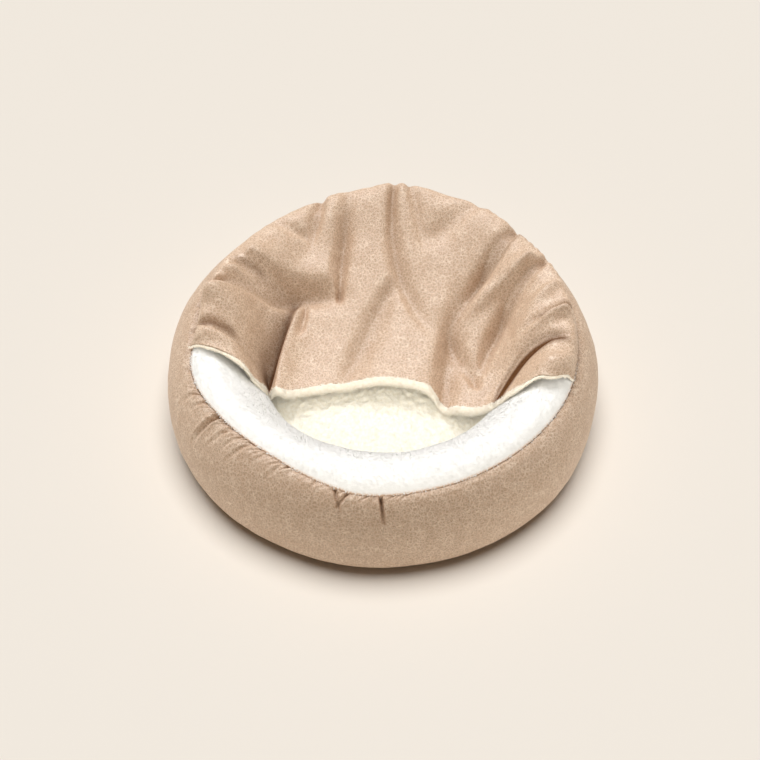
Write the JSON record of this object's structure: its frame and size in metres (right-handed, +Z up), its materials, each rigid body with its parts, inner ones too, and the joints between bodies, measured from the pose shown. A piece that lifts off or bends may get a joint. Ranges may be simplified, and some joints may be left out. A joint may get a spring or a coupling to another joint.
{
  "type": "hooded round dog bed",
  "caption": "Round padded pet bed with a plush ring, a pile seat pad and a draped cloth hood sewn round its back.",
  "frame": {"origin": "middle of the flat base, on the floor", "axes": "+Z up, the open mouth faces -Y and the hood lies round the +Y side"},
  "size_m": [0.6, 0.6, 0.2096],
  "materials": {
    "suede_base": "matt brushed cloth",
    "suede_tan": "matt imitation suede with a fine paler crackle",
    "plush_white": "short soft plush pile",
    "sherpa_cream": "short curly pile"
  },
  "bodies": {
    "root": {"base_panel": "suede_base", "outer_wall": "suede_tan", "plush_ring": "plush_white", "seat_pad": "sherpa_cream", "hood": "suede_tan", "hood_lining": "sherpa_cream"}
  },
  "joints": []
}
